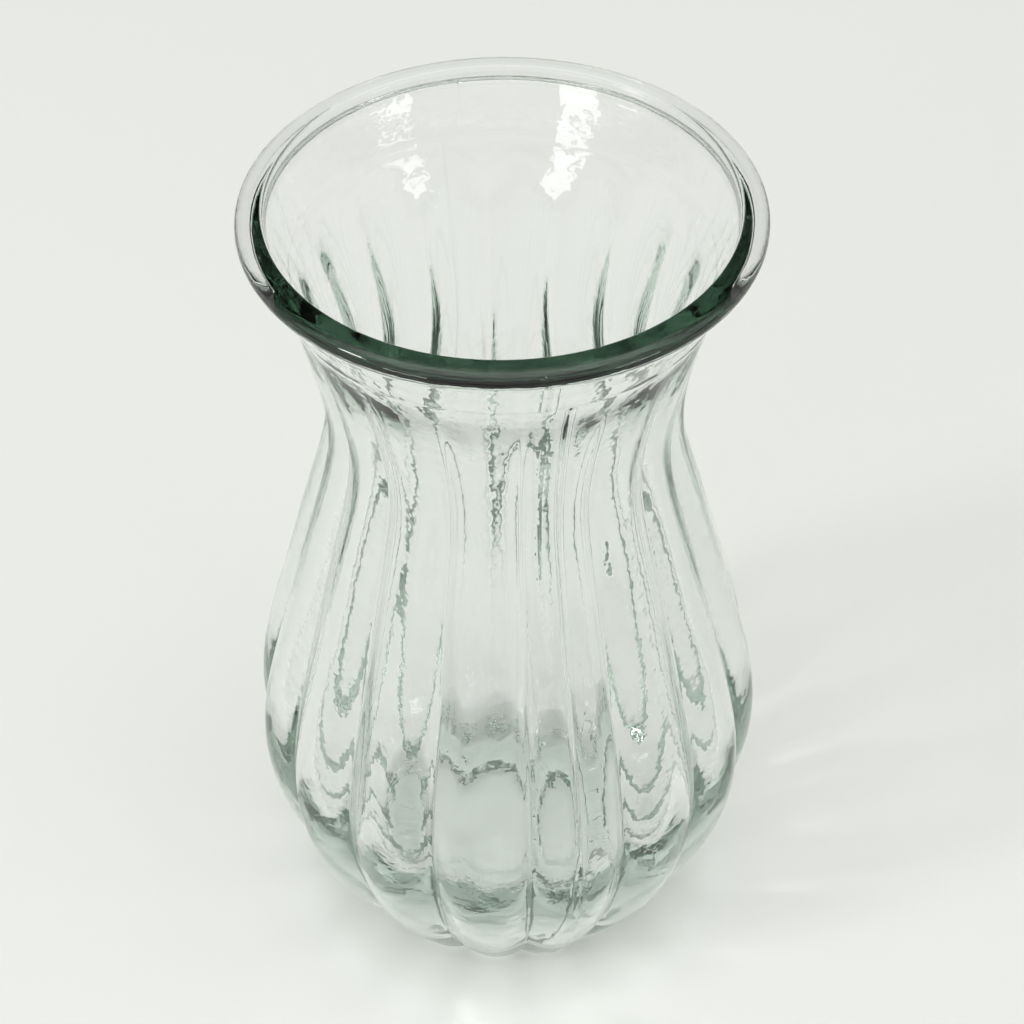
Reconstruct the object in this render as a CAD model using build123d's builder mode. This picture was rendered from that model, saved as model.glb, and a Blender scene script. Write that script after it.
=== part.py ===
"""A fluted clear glass vase: lobed belly and neck, plain flared collar, thick lip and heavy foot.

The real vase is one casting. Its glass is divided here at its natural lines into named zones, from the
foot to the rim, and each zone meets the next face to face on a level plane. The origin is the middle of
the foot, on the table, with +Z up the vase's axis and a valley between two lobes facing -Y.
"""

import os

from build123d import *

# Driving dimensions, in millimetres
HEIGHT = 244.9
RIM_DIAMETER = 127.0
NECK_DIAMETER = 91.8
BELLY_DIAMETER = 140.4
FOOT_DIAMETER = 85.0
LOBES = 16
LOBE_DEPTH_SHARE = 0.062  # how far a valley lies inside its crests, as a share of the crests' radius
TOP_DEPTH_SHARE = 0.036  # the same where the valleys run out under the flare

# The lip's section: a full outer round, a nearly flat top and a tight inner round
LIP_WIDTH = 6.9
LIP_OUTER_ROUND = 2.7
LIP_INNER_ROUND = 1.0
LIP_DROP = 0.35  # how far the top of the outer round lies below the top of the inner round

# Levels of the main features above the table
BELLY_LEVEL = 74.0
NECK_LEVEL = 180.0

# Points of the outer profile between those features, as radius and level
LOWER_BELLY = (58.8, 27.0)
SHOULDER = (59.9, 123.0)
LOWER_NECK = (52.6, 150.0)
VALLEY_TOP = (50.2, 211.0)  # the crests at the level where the valleys run out under the flare
ARCH = (52.0, 220.0)  # where the crests themselves run out under the flare
FLUTE_END = (53.4, 232.0)  # the lobes' hidden end, inside the flare's glass
FLARE_START = (45.2, 203.0)  # the flare's hidden start, inside the lobes' glass

# The wall and the bottom
WALL_AT_VALLEY = 2.8
WALL_AT_COLLAR = 3.9
LOWER_WALL = 7.4  # the thicker wall at the valleys of the lower belly
FLOOR_THICKNESS = 14.0
FLOOR_ROUND = 8.0  # radius between the inside floor and the wall
KICK_DIAMETER = 62.0  # the shallow flat recess pressed into the underside
KICK_DEPTH = 3.2
KICK_SLOPE = 5.0  # width of the recess's sloped edge

# Level planes at which the glass is divided into zones
BASE_TOP = FLOOR_THICKNESS + FLOOR_ROUND
SHOULDER_TOP = 150.0
COLLAR_BOTTOM = 224.0

# Values worked out from those above
LIP_OUTER = (RIM_DIAMETER / 2 - LIP_OUTER_ROUND, HEIGHT - LIP_DROP - LIP_OUTER_ROUND)
MOUTH_RADIUS = RIM_DIAMETER / 2 - LIP_WIDTH
LIP_INNER = (MOUTH_RADIUS + LIP_INNER_ROUND, HEIGHT - LIP_INNER_ROUND)
RIM_BOTTOM = LIP_OUTER[1] - LIP_OUTER_ROUND
FOOT = (FOOT_DIAMETER / 2, 0)
BELLY = (BELLY_DIAMETER / 2, BELLY_LEVEL)
NECK = (NECK_DIAMETER / 2, NECK_LEVEL)
FLARE_FOOT = (VALLEY_TOP[0] * (1 - TOP_DEPTH_SHARE), VALLEY_TOP[1])
FLARE_END = (LIP_OUTER[0] - LIP_OUTER_ROUND / 2, LIP_OUTER[1] - LIP_OUTER_ROUND / 2)
KICK_FLAT = KICK_DIAMETER / 2 - KICK_SLOPE
LOBE_ANGLE = 360 / LOBES
FRONT = -90  # the direction of -Y, where a valley lies
SECTIONS = 15  # level outlines that carry the lobed form


def depth_share(level: float) -> float:
    """The valleys' depth at a level: even up to the neck, then shallower towards the flare."""
    rise = (level - NECK_LEVEL) / (VALLEY_TOP[1] - NECK_LEVEL)
    fade = min(max(rise, 0), 1)
    return LOBE_DEPTH_SHARE + (TOP_DEPTH_SHARE - LOBE_DEPTH_SHARE) * fade * fade * (3 - 2 * fade)


def lobed_outline(crest: float, level: float) -> Sketch:
    """A level outline of convex arcs, one for each lobe, that meet in sharp valleys."""
    valley = crest * (1 - depth_share(level))
    with BuildSketch(Plane.XY.offset(level)) as outline:
        with BuildLine():
            for lobe in range(LOBES):
                start = FRONT + lobe * LOBE_ANGLE
                ThreePointArc(
                    Vector(valley, 0).rotate(Axis.Z, start),
                    Vector(crest, 0).rotate(Axis.Z, start + LOBE_ANGLE / 2),
                    Vector(valley, 0).rotate(Axis.Z, start + LOBE_ANGLE),
                )
        make_face()
    return outline.sketch


def inside(point: tuple[float, float]) -> tuple[float, float]:
    """The point of the inside wall at the level of a point on the lobes' crests."""
    crest, level = point
    return (crest * (1 - LOBE_DEPTH_SHARE) - WALL_AT_VALLEY, level)


# The line of the lobes' crests, as radius and level, from the foot to their end under the collar
with BuildLine() as crest_line:
    Spline(FOOT, LOWER_BELLY, BELLY, SHOULDER, LOWER_NECK, NECK, VALLEY_TOP, ARCH, FLUTE_END)

# The lobed outside, filled to the axis
with BuildPart() as fluted_form:
    for section in range(SECTIONS):
        point = crest_line.line @ (section / (SECTIONS - 1))
        add(lobed_outline(point.X, point.Y))
    loft()

# The lip round the mouth: the hull of its two rounds
with BuildPart() as lip_form:
    with BuildSketch(Plane.XZ):
        with Locations(LIP_OUTER):
            Circle(LIP_OUTER_ROUND)
        with Locations(LIP_INNER):
            Circle(LIP_INNER_ROUND)
        make_hull()
    revolve(axis=Axis.Z)

# The plain flare, which rises out of the valleys to the lip, filled to the axis
with BuildPart() as flare_form:
    with BuildSketch(Plane.XZ):
        with BuildLine():
            Spline(FLARE_START, FLARE_FOOT, ARCH, FLARE_END)
            Polyline(
                FLARE_END,
                LIP_OUTER,
                LIP_INNER,
                (0, LIP_INNER[1]),
                (0, FLARE_START[1]),
                FLARE_START,
            )
        make_face()
    revolve(axis=Axis.Z)
    add(lip_form.part)

# The hollow: a flat floor with a round to the wall, the smooth inside, and the open mouth
with BuildPart() as hollow_form:
    floor_edge = (LOWER_BELLY[0] * (1 - LOBE_DEPTH_SHARE) - LOWER_WALL, BASE_TOP)
    floor_flat = (floor_edge[0] - FLOOR_ROUND, FLOOR_THICKNESS)
    with BuildSketch(Plane.XZ):
        with BuildLine():
            Polyline((0, HEIGHT), (0, FLOOR_THICKNESS), floor_flat)
            TangentArc(floor_flat, floor_edge, tangent=(1, 0))
            Spline(
                floor_edge,
                inside(BELLY),
                inside(SHOULDER),
                inside(LOWER_NECK),
                inside(NECK),
                (ARCH[0] - WALL_AT_COLLAR, ARCH[1]),
                (MOUTH_RADIUS, LIP_INNER[1]),
                tangents=[(1, 2), (1, 3)],
            )
            Polyline((MOUTH_RADIUS, LIP_INNER[1]), (MOUTH_RADIUS, HEIGHT), (0, HEIGHT))
        make_face()
    revolve(axis=Axis.Z)

# The shallow recess pressed into the underside, with a sloped edge
with BuildPart() as kick_form:
    with BuildSketch(Plane.XZ):
        with BuildLine():
            Polyline((KICK_DIAMETER / 2, 0), (0, 0), (0, KICK_DEPTH), (KICK_FLAT, KICK_DEPTH))
            Spline((KICK_FLAT, KICK_DEPTH), (KICK_DIAMETER / 2, 0), tangents=[(1, 0), (1, 0)])
        make_face()
    revolve(axis=Axis.Z)

# The heavy bottom: the lobes' lower ends, the thick floor and the ring that bears on the table
with BuildPart() as base:
    add(fluted_form.part)
    add(hollow_form.part, mode=Mode.SUBTRACT)
    add(kick_form.part, mode=Mode.SUBTRACT)
    split(bisect_by=Plane.XY.offset(BASE_TOP), keep=Keep.BOTTOM)
base.part.label = "base"

# The round lobed belly, up to its widest level
with BuildPart() as fluted_belly:
    add(fluted_form.part)
    add(hollow_form.part, mode=Mode.SUBTRACT)
    split(bisect_by=Plane.XY.offset(BASE_TOP), keep=Keep.TOP)
    split(bisect_by=Plane.XY.offset(BELLY_LEVEL), keep=Keep.BOTTOM)
fluted_belly.part.label = "fluted_belly"

# The lobed shoulder, which draws in from the belly to the waist
with BuildPart() as fluted_shoulder:
    add(fluted_form.part)
    add(hollow_form.part, mode=Mode.SUBTRACT)
    split(bisect_by=Plane.XY.offset(BELLY_LEVEL), keep=Keep.TOP)
    split(bisect_by=Plane.XY.offset(SHOULDER_TOP), keep=Keep.BOTTOM)
fluted_shoulder.part.label = "fluted_shoulder"

# The lobed neck, up to the arches where the plain flare overruns the lobes
with BuildPart() as fluted_neck:
    add(fluted_form.part)
    add(flare_form.part)
    add(hollow_form.part, mode=Mode.SUBTRACT)
    split(bisect_by=Plane.XY.offset(SHOULDER_TOP), keep=Keep.TOP)
    split(bisect_by=Plane.XY.offset(COLLAR_BOTTOM), keep=Keep.BOTTOM)
fluted_neck.part.label = "fluted_neck"

# The plain flare under the rim
with BuildPart() as flared_collar:
    add(flare_form.part)
    add(hollow_form.part, mode=Mode.SUBTRACT)
    split(bisect_by=Plane.XY.offset(COLLAR_BOTTOM), keep=Keep.TOP)
    split(bisect_by=Plane.XY.offset(RIM_BOTTOM), keep=Keep.BOTTOM)
flared_collar.part.label = "flared_collar"

# The thick lip round the mouth
with BuildPart() as rim_bead:
    add(flare_form.part)
    add(hollow_form.part, mode=Mode.SUBTRACT)
    split(bisect_by=Plane.XY.offset(RIM_BOTTOM), keep=Keep.TOP)
rim_bead.part.label = "rim_bead"

os.makedirs("parts", exist_ok=True)
export_step(base.part, "parts/base.step")
export_step(fluted_belly.part, "parts/fluted_belly.step")
export_step(fluted_shoulder.part, "parts/fluted_shoulder.step")
export_step(fluted_neck.part, "parts/fluted_neck.step")
export_step(flared_collar.part, "parts/flared_collar.step")
export_step(rim_bead.part, "parts/rim_bead.step")
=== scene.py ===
"""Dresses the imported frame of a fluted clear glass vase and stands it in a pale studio.

The vase is one closed mesh of glass. Its section runs from the recessed underside over the foot, up the
lobed outside, over the thick lip and down the softly waved inside to the floor. Lengths are metres.
"""

import logging
import math
from dataclasses import dataclass, field

import bpy
import numpy as np
from mathutils import Matrix, Vector

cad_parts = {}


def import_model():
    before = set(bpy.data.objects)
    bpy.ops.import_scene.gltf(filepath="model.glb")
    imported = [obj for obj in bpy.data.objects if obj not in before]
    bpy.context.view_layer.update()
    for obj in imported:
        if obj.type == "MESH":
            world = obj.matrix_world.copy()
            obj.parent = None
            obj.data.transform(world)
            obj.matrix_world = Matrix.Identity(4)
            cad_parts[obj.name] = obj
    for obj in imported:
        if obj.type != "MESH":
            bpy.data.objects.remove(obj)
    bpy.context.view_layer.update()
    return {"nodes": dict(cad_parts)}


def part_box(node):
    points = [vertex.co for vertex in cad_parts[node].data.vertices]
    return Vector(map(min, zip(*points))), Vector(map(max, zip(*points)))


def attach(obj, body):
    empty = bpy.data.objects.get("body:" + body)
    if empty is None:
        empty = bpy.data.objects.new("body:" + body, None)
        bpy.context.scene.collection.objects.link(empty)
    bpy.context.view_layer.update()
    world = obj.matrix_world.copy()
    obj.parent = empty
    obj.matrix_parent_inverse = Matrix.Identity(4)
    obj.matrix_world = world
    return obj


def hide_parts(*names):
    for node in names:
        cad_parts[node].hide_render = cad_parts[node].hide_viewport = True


LOG = logging.getLogger("vase")
MM = 0.001

Point = tuple[float, float]  # radius and level of a point of the section
Ring = tuple[np.ndarray, np.ndarray]  # radius and level of a ring's columns


def smooth_max(first: np.ndarray, second: np.ndarray, blend: float) -> np.ndarray:
    """The larger of two surfaces, with a round of the given width where they cross.

    Args:
        first: Radii of one surface.
        second: Radii of the other surface.
        blend: Difference in radius over which the two run together.

    Returns:
        The joined radii.
    """
    overlap = np.maximum(blend - np.abs(first - second), 0.0)
    return np.maximum(first, second) + overlap**2 / (4.0 * blend)


def ease(value: float) -> float:
    """A smooth step from 0 to 1 for values from 0 to 1."""
    clipped = min(max(value, 0.0), 1.0)
    return clipped * clipped * (3.0 - 2.0 * clipped)


def soft_step(
    tree: bpy.types.NodeTree,
    value: bpy.types.NodeSocket,
    span: tuple[float, float],
    ends: tuple[float, float],
) -> bpy.types.NodeSocket:
    """Adds a number that changes smoothly from one value to another.

    Args:
        tree: The node tree of a finish or of the room.
        value: The socket that the number follows.
        span: Where the change starts and ends.
        ends: The number before and after the change.

    Returns:
        The socket that carries the number.
    """
    ramp = tree.nodes.new("ShaderNodeMapRange")
    ramp.interpolation_type = "SMOOTHSTEP"
    ramp.inputs["From Min"].default_value = span[0]
    ramp.inputs["From Max"].default_value = span[1]
    ramp.inputs["To Min"].default_value = ends[0]
    ramp.inputs["To Max"].default_value = ends[1]
    tree.links.new(value, ramp.inputs["Value"])
    return ramp.outputs["Result"]


class Line:
    """A smooth line of radius against level through a few points, as a natural cubic spline."""

    def __init__(self, *points: Point) -> None:
        """Solves the spline.

        Args:
            points: Radius and level of each point, from the lowest to the highest.
        """
        self.radii = np.array([point[0] for point in points])
        self.levels = np.array([point[1] for point in points])
        self.bends = self.solve_bends()

    def solve_bends(self) -> np.ndarray:
        """The second derivatives at the points, nought at both ends."""
        count = len(self.levels)
        steps = np.diff(self.levels)
        slopes = np.diff(self.radii) / steps
        matrix = np.eye(count)
        target = np.zeros(count)
        for i in range(1, count - 1):
            matrix[i, i - 1] = steps[i - 1]
            matrix[i, i] = 2.0 * (steps[i - 1] + steps[i])
            matrix[i, i + 1] = steps[i]
            target[i] = 6.0 * (slopes[i] - slopes[i - 1])
        return np.linalg.solve(matrix, target)

    def radius(self, level: float) -> float:
        """The radius at a level.

        Args:
            level: Height above the table.

        Returns:
            The line's radius there.
        """
        i = int(np.clip(np.searchsorted(self.levels, level) - 1, 0, len(self.levels) - 2))
        step = self.levels[i + 1] - self.levels[i]
        before = (self.levels[i + 1] - level) / step
        after = (level - self.levels[i]) / step
        bend_before = (before**3 - before) * self.bends[i]
        bend_after = (after**3 - after) * self.bends[i + 1]
        straight = before * self.radii[i] + after * self.radii[i + 1]
        return float(straight + (bend_before + bend_after) * step**2 / 6.0)


@dataclass(frozen=True)
class ClearGlass:
    """Clear soda-lime glass with a faint green body colour and a mould's fine ripple."""

    name: str = "clear_green_glass"
    ior: float = 1.52
    roughness: float = 0.0
    absorption_colour: tuple[float, float, float] = (0.02, 0.3, 0.125)
    absorption_density: float = 8.0
    ripple_scale: float = 190.0
    ripple_height: float = 0.35 * MM
    ripple_strength: float = 0.22
    ripple_detail: float = 2.0
    chill_scale: tuple[float, float, float] = (22.0, 22.0, 420.0)
    chill_levels: tuple[float, float] = (9.0 * MM, 18.0 * MM)
    chill_height: float = 0.9 * MM
    waver_scale: float = 120.0
    waver_levels: tuple[float, float] = (202.0 * MM, 222.0 * MM)
    waver_share: float = 1.2

    def material(self) -> bpy.types.Material:
        """Makes the glass.

        Returns:
            A material with a rippled clear surface and an absorbing volume.
        """
        material = bpy.data.materials.new(self.name)
        material.use_nodes = True
        tree = material.node_tree
        surface = tree.nodes["Principled BSDF"]
        surface.inputs["Base Color"].default_value = (1.0, 1.0, 1.0, 1.0)
        surface.inputs["Transmission Weight"].default_value = 1.0
        surface.inputs["Roughness"].default_value = self.roughness
        surface.inputs["IOR"].default_value = self.ior
        tree.links.new(self.ripple(tree), surface.inputs["Normal"])
        volume = tree.nodes.new("ShaderNodeVolumeAbsorption")
        volume.inputs["Color"].default_value = (*self.absorption_colour, 1.0)
        volume.inputs["Density"].default_value = self.absorption_density
        output = tree.nodes["Material Output"]
        tree.links.new(volume.outputs["Volume"], output.inputs["Volume"])
        return material

    def ripple(self, tree: bpy.types.NodeTree) -> bpy.types.NodeSocket:
        """Adds the mould's fine ripple, the chill marks round the foot and the collar's soft waver.

        Args:
            tree: The material's node tree.

        Returns:
            The socket that carries the rippled normal.
        """
        place = tree.nodes.new("ShaderNodeTexCoord").outputs["Object"]
        parts = tree.nodes.new("ShaderNodeSeparateXYZ")
        tree.links.new(place, parts.inputs[0])
        level = parts.outputs["Z"]
        fine = self.noise(tree, place, (self.ripple_scale,) * 3)
        waver = self.noise(tree, place, (self.waver_scale,) * 3)
        share = soft_step(tree, level, self.waver_levels, (0.0, self.waver_share))
        ripple = tree.nodes.new("ShaderNodeBump")
        ripple.inputs["Strength"].default_value = self.ripple_strength
        ripple.inputs["Distance"].default_value = self.ripple_height
        tree.links.new(self.add_share(tree, fine, waver, share), ripple.inputs["Height"])
        chill = tree.nodes.new("ShaderNodeBump")
        chill.inputs["Distance"].default_value = self.chill_height
        marks = self.noise(tree, place, self.chill_scale)
        tree.links.new(marks, chill.inputs["Height"])
        near_foot = soft_step(tree, level, self.chill_levels, (1.0, 0.0))
        tree.links.new(near_foot, chill.inputs["Strength"])
        tree.links.new(ripple.outputs["Normal"], chill.inputs["Normal"])
        return chill.outputs["Normal"]

    def noise(
        self,
        tree: bpy.types.NodeTree,
        place: bpy.types.NodeSocket,
        scale: tuple[float, float, float],
    ) -> bpy.types.NodeSocket:
        """Adds a soft noise, finer along the directions with the larger scale.

        Args:
            tree: The material's node tree.
            place: The socket that carries the place on the glass.
            scale: Waves to the metre along each direction.

        Returns:
            The socket that carries the noise.
        """
        stretch = tree.nodes.new("ShaderNodeMapping")
        stretch.inputs["Scale"].default_value = scale
        tree.links.new(place, stretch.inputs["Vector"])
        noise = tree.nodes.new("ShaderNodeTexNoise")
        noise.inputs["Scale"].default_value = 1.0
        noise.inputs["Detail"].default_value = self.ripple_detail
        tree.links.new(stretch.outputs["Vector"], noise.inputs["Vector"])
        return noise.outputs["Fac"]

    @staticmethod
    def add_share(
        tree: bpy.types.NodeTree,
        height: bpy.types.NodeSocket,
        more: bpy.types.NodeSocket,
        share: bpy.types.NodeSocket,
    ) -> bpy.types.NodeSocket:
        """Adds a share of one relief to another.

        Args:
            tree: The material's node tree.
            height: The relief that is there already.
            more: The relief to add.
            share: How much of it to add.

        Returns:
            The socket that carries the sum.
        """
        total = tree.nodes.new("ShaderNodeMath")
        total.operation = "MULTIPLY_ADD"
        tree.links.new(more, total.inputs[0])
        tree.links.new(share, total.inputs[1])
        tree.links.new(height, total.inputs[2])
        return total.outputs["Value"]


@dataclass
class Vase:
    """The glass vase: lobed belly and neck, flared collar, thick lip and heavy foot."""

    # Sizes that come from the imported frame
    rim_radius: float
    height: float
    belly_level: float
    collar_bottom: float
    finish: ClearGlass = ClearGlass()

    # The lip's section
    lip_width: float = 6.9 * MM
    lip_inner_round: float = 1.0 * MM
    lip_outer_round: float = 2.7 * MM
    lip_drop: float = 0.35 * MM
    lip_foot: float = math.radians(-118.0)
    lip_end: float = math.radians(186.0)

    # The outside: radius and level along the lobes' crests and the flare
    belly_radius: float = 70.2 * MM
    neck_radius: float = 45.9 * MM
    neck_level: float = 180.0 * MM
    foot_radius: float = 42.5 * MM
    lower_belly: Point = (58.8 * MM, 27.0 * MM)
    shoulder: Point = (59.9 * MM, 123.0 * MM)
    lower_neck: Point = (52.6 * MM, 150.0 * MM)
    valley_top: Point = (50.2 * MM, 211.0 * MM)
    arch: Point = (52.0 * MM, 220.0 * MM)
    flute_end: Point = (53.4 * MM, 232.0 * MM)
    flare_start: Point = (45.2 * MM, 203.0 * MM)
    foot_round: float = 2.6 * MM
    foot_turn_in: float = 0.7

    # The lobes, as shares of the crests' radius, and the rounds between their surfaces
    lobes: int = 16
    lobe_depth: float = 0.062
    top_depth: float = 0.036
    valley_round: float = 0.8 * MM
    arch_round: float = 1.6 * MM

    # The mould's upright seams and its level joint under the collar
    seam_width: float = 0.45 * MM
    seam_height: float = 0.25 * MM
    seam_lobes: tuple[int, ...] = (0, 8)
    collar_seams: tuple[float, ...] = (math.radians(5.5), math.radians(185.5))
    joint_rise: float = 2.0 * MM
    joint_height: float = 0.12 * MM
    joint_width: float = 0.9 * MM

    # The inside, its waves and the bottom
    crest_wall: float = 5.4 * MM
    collar_wall: float = 3.9 * MM
    lower_wall: float = 7.4 * MM
    inner_share: float = 0.62
    wave_start: float = 36.0 * MM
    wave_end: tuple[float, float] = (208.0 * MM, 224.0 * MM)
    floor_level: float = 14.0 * MM
    floor_round: float = 8.0 * MM
    kick_radius: float = 31.0 * MM
    kick_depth: float = 3.2 * MM
    kick_slope: float = 5.0 * MM
    knurls: int = 64
    knurl_depth: float = 0.5 * MM

    # The mesh's columns and rings
    per_lobe: int = 20
    crowding: float = 0.55
    seam_columns: tuple[float, ...] = (-1.6, -0.8, 0.8, 1.6)
    outer_rows: int = 136
    low_crowding: float = 0.25
    joint_rows: tuple[float, ...] = (-1.6, -0.9, -0.45, 0.0, 0.45, 0.9, 1.6)
    inner_rows: int = 84
    outer_lip_rows: int = 18
    top_lip_rows: int = 4
    inner_lip_rows: int = 9
    floor_rows: int = 9
    floor_eye: float = 0.15
    round_rows: int = 12
    foot_rows: int = 10
    pad_rows: int = 7
    kick_rings: tuple[float, ...] = (0.2, 0.5, 0.8)

    # Values worked out from those above
    lip_outer: Point = field(init=False)
    lip_inner: Point = field(init=False)
    flare_end: Point = field(init=False)
    inner_start: Point = field(init=False)
    floor_edge: Point = field(init=False)
    joint_level: float = field(init=False)
    crest_line: Line = field(init=False)
    flare_line: Line = field(init=False)
    inner_line: Line = field(init=False)
    body_seams: tuple[float, ...] = field(init=False)
    turns: np.ndarray = field(init=False)
    offsets: np.ndarray = field(init=False)
    angles: np.ndarray = field(init=False)

    def __post_init__(self) -> None:
        """Works out the lip's place, the lines of the section and the turns of the columns."""
        self.place_lip()
        self.draw_lines()
        self.spread_columns()

    def place_lip(self) -> None:
        """Finds the centres of the lip's two rounds and where the walls meet them."""
        self.lip_outer = (
            self.rim_radius - self.lip_outer_round,
            self.height - self.lip_drop - self.lip_outer_round,
        )
        self.lip_inner = (
            self.rim_radius - self.lip_width + self.lip_inner_round,
            self.height - self.lip_inner_round,
        )
        self.flare_end = self.on_round(self.lip_outer, self.lip_outer_round, self.lip_foot)
        self.inner_start = self.on_round(self.lip_inner, self.lip_inner_round, self.lip_end)

    def draw_lines(self) -> None:
        """Draws the lines of the crests, the flare and the inside."""
        self.joint_level = self.collar_bottom + self.joint_rise
        self.crest_line = Line(
            (self.foot_radius, 0.0),
            self.lower_belly,
            (self.belly_radius, self.belly_level),
            self.shoulder,
            self.lower_neck,
            (self.neck_radius, self.neck_level),
            self.valley_top,
            self.arch,
            self.flute_end,
        )
        flare_foot = (self.valley_top[0] * (1.0 - self.top_depth), self.valley_top[1])
        self.flare_line = Line(self.flare_start, flare_foot, self.arch, self.flare_end)
        floor_edge = self.lower_belly[0] * (1.0 - self.lobe_depth) - self.lower_wall
        self.floor_edge = (floor_edge, self.floor_level + self.floor_round)
        self.inner_line = Line(
            self.floor_edge,
            (self.belly_radius - self.crest_wall, self.belly_level),
            (self.shoulder[0] - self.crest_wall, self.shoulder[1]),
            (self.lower_neck[0] - self.crest_wall, self.lower_neck[1]),
            (self.neck_radius - self.crest_wall, self.neck_level),
            (self.arch[0] - self.collar_wall, self.arch[1]),
            self.inner_start,
        )

    def spread_columns(self) -> None:
        """Spreads the mesh's columns round the axis, crowded at the valleys and the seams."""
        share = np.arange(self.per_lobe) / self.per_lobe
        crowded = share - self.crowding * np.sin(2.0 * math.pi * share) / (2.0 * math.pi)
        lobe_angle = 2.0 * math.pi / self.lobes
        even = (np.arange(self.lobes)[:, None] * lobe_angle + crowded * lobe_angle).ravel()
        self.body_seams = tuple((lobe + 0.5) * lobe_angle for lobe in self.seam_lobes)
        beside = np.array(self.seam_columns) * self.seam_width / self.belly_radius
        extra = [seam + step for seam in self.body_seams for step in beside]
        extra += [seam + step for seam in self.collar_seams for step in (*beside, 0.0)]
        self.turns = np.unique(np.round(np.concatenate([even, extra]), 6))
        self.offsets = self.turns % lobe_angle
        self.angles = self.turns - math.pi / 2.0

    @staticmethod
    def on_round(centre: Point, radius: float, turn: float) -> Point:
        """A point of a round in the section.

        Args:
            centre: Radius and level of the round's centre.
            radius: The round's own radius.
            turn: Direction from the centre, where nought is outwards and a right angle is up.

        Returns:
            The point's radius and level.
        """
        return (centre[0] + radius * math.cos(turn), centre[1] + radius * math.sin(turn))

    def lip(self) -> list[Point]:
        """The section of the lip: a full outer round, a nearly flat top and a tight inner round.

        Returns:
            Radius and level of each point, from under the outer round to the inside wall.
        """
        across = self.lip_outer[0] - self.lip_inner[0]
        down = self.lip_inner[1] - self.lip_outer[1]
        swell = (self.lip_outer_round - self.lip_inner_round) / math.hypot(across, down)
        top = math.pi / 2.0 - math.atan2(down, across) + math.asin(swell)
        points = []
        for turn in np.linspace(self.lip_foot, top, self.outer_lip_rows)[1:]:
            points.append(self.on_round(self.lip_outer, self.lip_outer_round, turn))
        near = points[-1]
        far = self.on_round(self.lip_inner, self.lip_inner_round, top)
        for share in np.linspace(0.0, 1.0, self.top_lip_rows)[1:-1]:
            points.append((near[0] + (far[0] - near[0]) * share, near[1] + (far[1] - near[1]) * share))
        for turn in np.linspace(top, self.lip_end, self.inner_lip_rows):
            points.append(self.on_round(self.lip_inner, self.lip_inner_round, turn))
        return points

    @staticmethod
    def arc_radius(turn: np.ndarray, centre: float, arc: float) -> np.ndarray:
        """The distance from the axis to one lobe's arc.

        Args:
            turn: Turn of each column from the middle of the lobe.
            centre: Distance from the axis to the arc's centre.
            arc: The arc's own radius.

        Returns:
            A radius for each column.
        """
        side = np.clip(centre * np.sin(turn), -arc, arc)
        return centre * np.cos(turn) + np.sqrt(arc**2 - side**2)

    def lobed(self, crest: float, depth_share: float) -> np.ndarray:
        """The radii of a ring of convex arcs with rounded valleys.

        Args:
            crest: Radius at the lobes' crests.
            depth_share: Depth of the valleys as a share of that radius.

        Returns:
            A radius for each column.
        """
        half = math.pi / self.lobes
        valley = crest * (1.0 - depth_share)
        centre = (crest**2 - valley**2) / (2.0 * (crest - valley * math.cos(half)))
        arc = crest - centre
        own = self.arc_radius(np.abs(self.offsets - half), centre, arc)
        nearest = half - np.abs(self.offsets - half)
        neighbour = self.arc_radius(np.minimum(half + nearest, math.pi / 2.0), centre, arc)
        return smooth_max(own, neighbour, self.valley_round)

    def depth(self, level: float) -> float:
        """The depth of the valleys at a level, as a share of the crests' radius."""
        fade = ease((level - self.neck_level) / (self.valley_top[1] - self.neck_level))
        return self.lobe_depth + (self.top_depth - self.lobe_depth) * fade

    def outside(self, level: float) -> np.ndarray:
        """The radii of the outside, where the flare overruns the lobes in arches.

        Args:
            level: Height above the table.

        Returns:
            A radius for each column.
        """
        crest = self.crest_line.radius(min(level, self.flute_end[1]))
        turn_in = 1.0 - math.sqrt(1.0 - max(0.0, 1.0 - level / self.foot_round) ** 2)
        lobes = self.lobed(crest, self.depth(level)) - turn_in * self.foot_round * self.foot_turn_in
        if level < self.flare_start[1]:
            return lobes + self.seam_ridge(crest, self.body_seams)
        flare = np.full_like(lobes, self.flare_line.radius(level))
        whole = smooth_max(lobes, flare, self.arch_round)
        seams = self.body_seams if level < self.joint_level else self.collar_seams
        joint = self.joint_height * math.exp(-(((level - self.joint_level) / self.joint_width) ** 2))
        return whole + joint + self.seam_ridge(crest, seams)

    def seam_ridge(self, radius: float, seams: tuple[float, ...]) -> np.ndarray:
        """The fine upright ridges where the halves of the mould met.

        Args:
            radius: Radius of the glass at this level.
            seams: Turn of each seam from the front.

        Returns:
            The height of the ridges for each column.
        """
        ridge = np.zeros_like(self.turns)
        for seam in seams:
            apart = (self.turns - seam) * radius / self.seam_width
            ridge += self.seam_height * np.exp(-(apart**2))
        return ridge

    def inside(self, level: float) -> np.ndarray:
        """The radii of the inside, softly waved where the outside is lobed.

        Args:
            level: Height above the table.

        Returns:
            A radius for each column.
        """
        start = ease((level - self.floor_edge[1]) / self.wave_start)
        end = ease((self.wave_end[1] - level) / (self.wave_end[1] - self.wave_end[0]))
        wave = 0.5 + 0.5 * np.cos(self.lobes * self.turns)
        depth = self.depth(level) * self.inner_share * start * end
        return self.inner_line.radius(level) * (1.0 - depth * wave)

    def even_ring(self, radius: float, level: float) -> Ring:
        """A round, level ring."""
        ones = np.ones_like(self.angles)
        return (ones * radius, ones * level)

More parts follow.
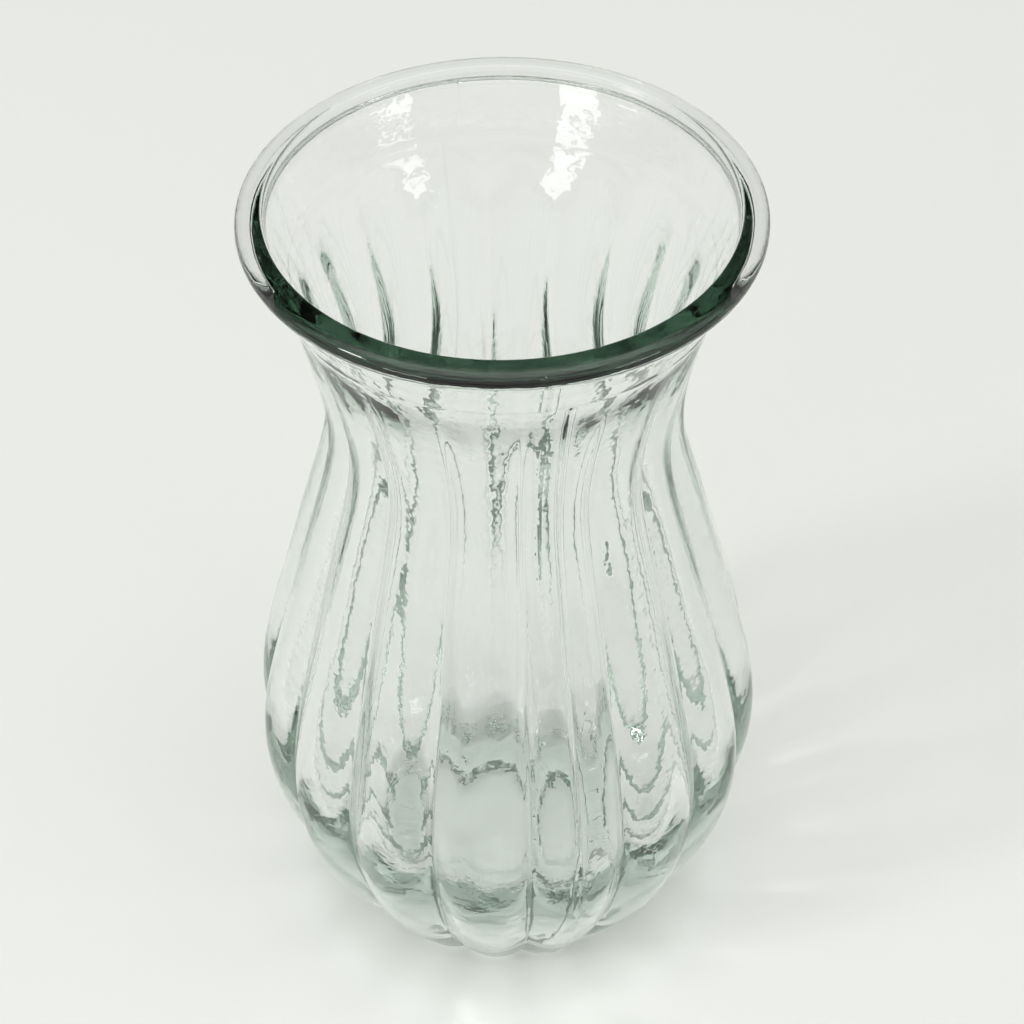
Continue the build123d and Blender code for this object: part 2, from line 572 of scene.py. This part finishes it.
    def underside_rings(self) -> list[Ring]:
        """The rings of the underside.

        Returns:
            Rings from the middle of the recess to the edge of the knurled foot.
        """
        kick_flat = self.kick_radius - self.kick_slope
        rings = [self.even_ring(kick_flat * share, self.kick_depth) for share in self.kick_rings]
        for share in np.linspace(0.0, 1.0, self.foot_rows):
            level = self.kick_depth * (1.0 - ease(share))
            rings.append(self.even_ring(kick_flat + self.kick_slope * share, level))
        foot = self.outside(0.0)
        knurl = 0.5 - 0.5 * np.cos(self.knurls * self.angles)
        for share in np.linspace(0.0, 1.0, self.pad_rows)[1:-1]:
            pad = math.sin(math.pi * share) * self.knurl_depth
            rings.append((self.kick_radius + (foot - self.kick_radius) * share, knurl * pad))
        return rings

    def outside_rings(self) -> list[Ring]:
        """The rings of the outside and the lip.

        Returns:
            Rings from the table to the start of the inside wall.
        """
        ones = np.ones_like(self.angles)
        spread = np.linspace(0.0, 1.0, self.outer_rows)
        low = self.low_crowding
        even = self.flare_end[1] * (low * spread**2 + (1.0 - low) * spread)
        joint = self.joint_level + self.joint_width * np.array(self.joint_rows)
        levels = np.unique(np.concatenate([even, joint]))
        rings = [(self.outside(level), ones * level) for level in levels]
        rings += [self.even_ring(radius, level) for radius, level in self.lip()]
        return rings

    def inside_rings(self) -> list[Ring]:
        """The rings of the inside.

        Returns:
            Rings from under the lip to the middle of the floor.
        """
        ones = np.ones_like(self.angles)
        levels = np.linspace(self.inner_start[1], self.floor_edge[1], self.inner_rows)[1:]
        rings = [(self.inside(level), ones * level) for level in levels]
        for turn in np.radians(np.linspace(0.0, 90.0, self.round_rows)[1:]):
            radius = self.floor_edge[0] - self.floor_round * (1.0 - math.cos(turn))
            level = self.floor_edge[1] - self.floor_round * math.sin(turn)
            rings.append(self.even_ring(radius, level))
        flat = self.floor_edge[0] - self.floor_round
        for share in np.linspace(1.0, self.floor_eye, self.floor_rows)[1:]:
            rings.append(self.even_ring(flat * share, self.floor_level))
        return rings

    def build(self) -> bpy.types.Object:
        """Makes the closed glass mesh.

        Returns:
            The vase object, linked into the scene.
        """
        rings = self.underside_rings() + self.outside_rings() + self.inside_rings()
        vertices = [(0.0, 0.0, self.kick_depth)]
        for radii, levels in rings:
            across = radii * np.cos(self.angles)
            deep = radii * np.sin(self.angles)
            vertices.extend(zip(across.tolist(), deep.tolist(), levels.tolist()))
        vertices.append((0.0, 0.0, self.floor_level))
        faces = self.ring_faces(len(rings), len(self.angles))
        mesh = bpy.data.meshes.new("vase_glass")
        mesh.from_pydata(vertices, [], faces)
        mesh.polygons.foreach_set("use_smooth", [True] * len(faces))
        mesh.validate()
        glass = bpy.data.objects.new("vase_glass", mesh)
        bpy.context.scene.collection.objects.link(glass)
        return glass

    @staticmethod
    def ring_faces(rings: int, columns: int) -> list[tuple[int, ...]]:
        """Joins the rings into one closed skin.

        Args:
            rings: Number of rings between the two poles.
            columns: Number of vertices in a ring.

        Returns:
            The vertex numbers of each face, turned outwards.
        """
        faces: list[tuple[int, ...]] = []
        last = 1 + rings * columns
        for column in range(columns):
            after = (column + 1) % columns
            faces.append((0, 1 + after, 1 + column))
            for ring in range(rings - 1):
                low = 1 + ring * columns
                high = low + columns
                faces.append((low + column, low + after, high + after, high + column))
            top = 1 + (rings - 1) * columns
            faces.append((top + column, top + after, last))
        return faces

    def dress(self, glass: bpy.types.Object, nodes: list[str]) -> None:
        """Gives the mesh its glass and ties it to the frame.

        Args:
            glass: The vase object.
            nodes: Names of the frame's nodes that the glass stands for.
        """
        glass.data.materials.append(self.finish.material())
        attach(glass, "root")
        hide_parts(*nodes)


@dataclass(frozen=True)
class PaleTable:
    """The smooth pale table that the vase stands on."""

    name: str = "pale_table"
    colour: tuple[float, float, float] = (0.85, 0.865, 0.84)
    roughness: float = 0.6
    gloss: float = 0.2
    reach: float = 3.0
    sink: float = 0.2 * MM

    def build(self) -> bpy.types.Object:
        """Lays the table.

        Returns:
            The table object.
        """
        mesh = bpy.data.meshes.new(self.name)
        corners = [(-self.reach, -self.reach, 0.0), (self.reach, -self.reach, 0.0)]
        corners += [(self.reach, self.reach, 0.0), (-self.reach, self.reach, 0.0)]
        mesh.from_pydata(corners, [], [(0, 1, 2, 3)])
        table = bpy.data.objects.new(self.name, mesh)
        bpy.context.scene.collection.objects.link(table)
        table.data.materials.append(self.material())
        table.location.z = -self.sink
        return table

    def material(self) -> bpy.types.Material:
        """Makes the table's finish.

        Returns:
            A matt pale material.
        """
        material = bpy.data.materials.new(self.name)
        material.use_nodes = True
        surface = material.node_tree.nodes["Principled BSDF"]
        surface.inputs["Base Color"].default_value = (*self.colour, 1.0)
        surface.inputs["Roughness"].default_value = self.roughness
        surface.inputs["Specular IOR Level"].default_value = self.gloss
        return material


@dataclass(frozen=True)
class Softbox:
    """A large soft light that looks at a point near the vase."""

    name: str
    place: tuple[float, float, float]
    width: float
    tall: float
    power: float
    colour: tuple[float, float, float] = (1.0, 1.0, 1.0)
    target: tuple[float, float, float] = (0.0, 0.0, 0.12)

    def build(self) -> bpy.types.Object:
        """Hangs the light.

        Returns:
            The light object.
        """
        light = bpy.data.lights.new(self.name, "AREA")
        light.shape = "RECTANGLE"
        light.size = self.width
        light.size_y = self.tall
        light.energy = self.power
        light.color = self.colour
        lamp = bpy.data.objects.new(self.name, light)
        lamp.location = self.place
        aim = Vector(self.target) - Vector(self.place)
        lamp.rotation_euler = aim.to_track_quat("-Z", "Y").to_euler()
        bpy.context.scene.collection.objects.link(lamp)
        return lamp


@dataclass(frozen=True)
class Studio:
    """The room round the vase: its walls' light, its softboxes, the table and the camera."""

    lens: float = 84.375
    sensor: float = 36.0
    camera_place: tuple[float, float, float] = (1.84 * MM, -457.7 * MM, 588.9 * MM)
    pitch: float = math.radians(44.29)
    roll: float = math.radians(-0.39)
    turn: float = math.radians(-5.25)
    glass_bounces: int = 60
    inner_reflections: int = 17
    wall_tint: tuple[float, float, float] = (1.0, 1.0, 0.98)
    wall_turn: tuple[float, float] = (-0.2, 0.45)
    front_light: float = 0.98
    far_light: float = 0.03
    skirt_rise: tuple[float, float] = (0.02, 0.16)
    skirt_light: float = 0.35
    ceiling_rise: tuple[float, float] = (0.78, 0.92)
    ceiling_light: float = 1.75
    softboxes: tuple[Softbox, ...] = (
        Softbox("window_left", (-1.32, -1.46, 0.45), 0.6, 0.25, 2.4),
        Softbox("window_right", (1.44, -1.34, 0.46), 0.6, 0.22, 2.0),
        Softbox("key", (-1.7, -0.7, 1.2), 0.35, 0.35, 7.0),
    )
    table: PaleTable = PaleTable()

    def light_walls(self) -> None:
        """Lights the room: a bright ceiling and front, a dim far wall and a pale strip at its foot."""
        world = bpy.data.worlds.new("studio_walls")
        world.use_nodes = True
        bpy.context.scene.world = world
        tree = world.node_tree
        background = tree.nodes["Background"]
        background.inputs["Color"].default_value = (*self.wall_tint, 1.0)
        place = tree.nodes.new("ShaderNodeTexCoord")
        parts = tree.nodes.new("ShaderNodeSeparateXYZ")
        tree.links.new(place.outputs["Generated"], parts.inputs[0])
        walls = soft_step(tree, parts.outputs["Y"], self.wall_turn, (self.front_light, self.far_light))
        low = soft_step(tree, parts.outputs["Z"], self.skirt_rise, (1.0, 0.0))
        high = soft_step(tree, parts.outputs["Z"], self.ceiling_rise, (0.0, 1.0))
        with_skirt = self.blend(tree, low, walls, self.skirt_light)
        light = self.blend(tree, high, with_skirt, self.ceiling_light)
        tree.links.new(light, background.inputs["Strength"])

    @staticmethod
    def blend(
        tree: bpy.types.NodeTree,
        share: bpy.types.NodeSocket,
        light: bpy.types.NodeSocket,
        other: float,
    ) -> bpy.types.NodeSocket:
        """Blends one light of the room into another.

        Args:
            tree: The world's node tree.
            share: How far the other light takes over.
            light: The light that is there already.
            other: The light that takes over.

        Returns:
            The socket that carries the blended light.
        """
        mix = tree.nodes.new("ShaderNodeMix")
        mix.data_type = "FLOAT"
        mix.inputs["B"].default_value = other
        tree.links.new(share, mix.inputs["Factor"])
        tree.links.new(light, mix.inputs["A"])
        return mix.outputs["Result"]

    def set_camera(self) -> bpy.types.Object:
        """Places the camera at the photograph's view.

        Returns:
            The camera object.
        """
        camera = bpy.data.cameras.new("camera")
        camera.lens = self.lens
        camera.sensor_width = self.sensor
        holder = bpy.data.objects.new("camera", camera)
        turn = Matrix.Rotation(self.turn, 4, "Z")
        look = Matrix.Rotation(math.pi / 2.0 - self.pitch, 4, "X") @ Matrix.Rotation(self.roll, 4, "Z")
        holder.matrix_world = turn @ Matrix.Translation(self.camera_place) @ look
        bpy.context.scene.collection.objects.link(holder)
        bpy.context.scene.camera = holder
        return holder

    def follow_light(self) -> None:
        """Lets a ray be turned back inside the glass as often as a thick wall turns it."""
        paths = bpy.context.scene.cycles
        paths.max_bounces = self.glass_bounces
        paths.transmission_bounces = self.glass_bounces
        paths.glossy_bounces = self.inner_reflections
        paths.blur_glossy = 0.0

    def build(self) -> None:
        """Sets the whole studio up."""
        bpy.context.scene.view_settings.view_transform = "Standard"
        self.follow_light()
        self.light_walls()
        for softbox in self.softboxes:
            softbox.build()
        self.table.build()
        self.set_camera()


def main() -> None:
    """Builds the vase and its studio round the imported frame."""
    logging.basicConfig(level=logging.INFO, format="%(name)s: %(message)s")
    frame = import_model()
    rim_low, rim_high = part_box("rim_bead")
    _, belly_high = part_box("fluted_belly")
    collar_low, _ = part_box("flared_collar")
    vase = Vase(
        rim_radius=(rim_high[0] - rim_low[0]) / 2.0,
        height=rim_high[2],
        belly_level=belly_high[2],
        collar_bottom=collar_low[2],
    )
    glass = vase.build()
    vase.dress(glass, sorted(frame["nodes"]))
    LOG.info("%s: %d faces", glass.name, len(glass.data.polygons))
    Studio().build()


if __name__ == "__main__":
    main()
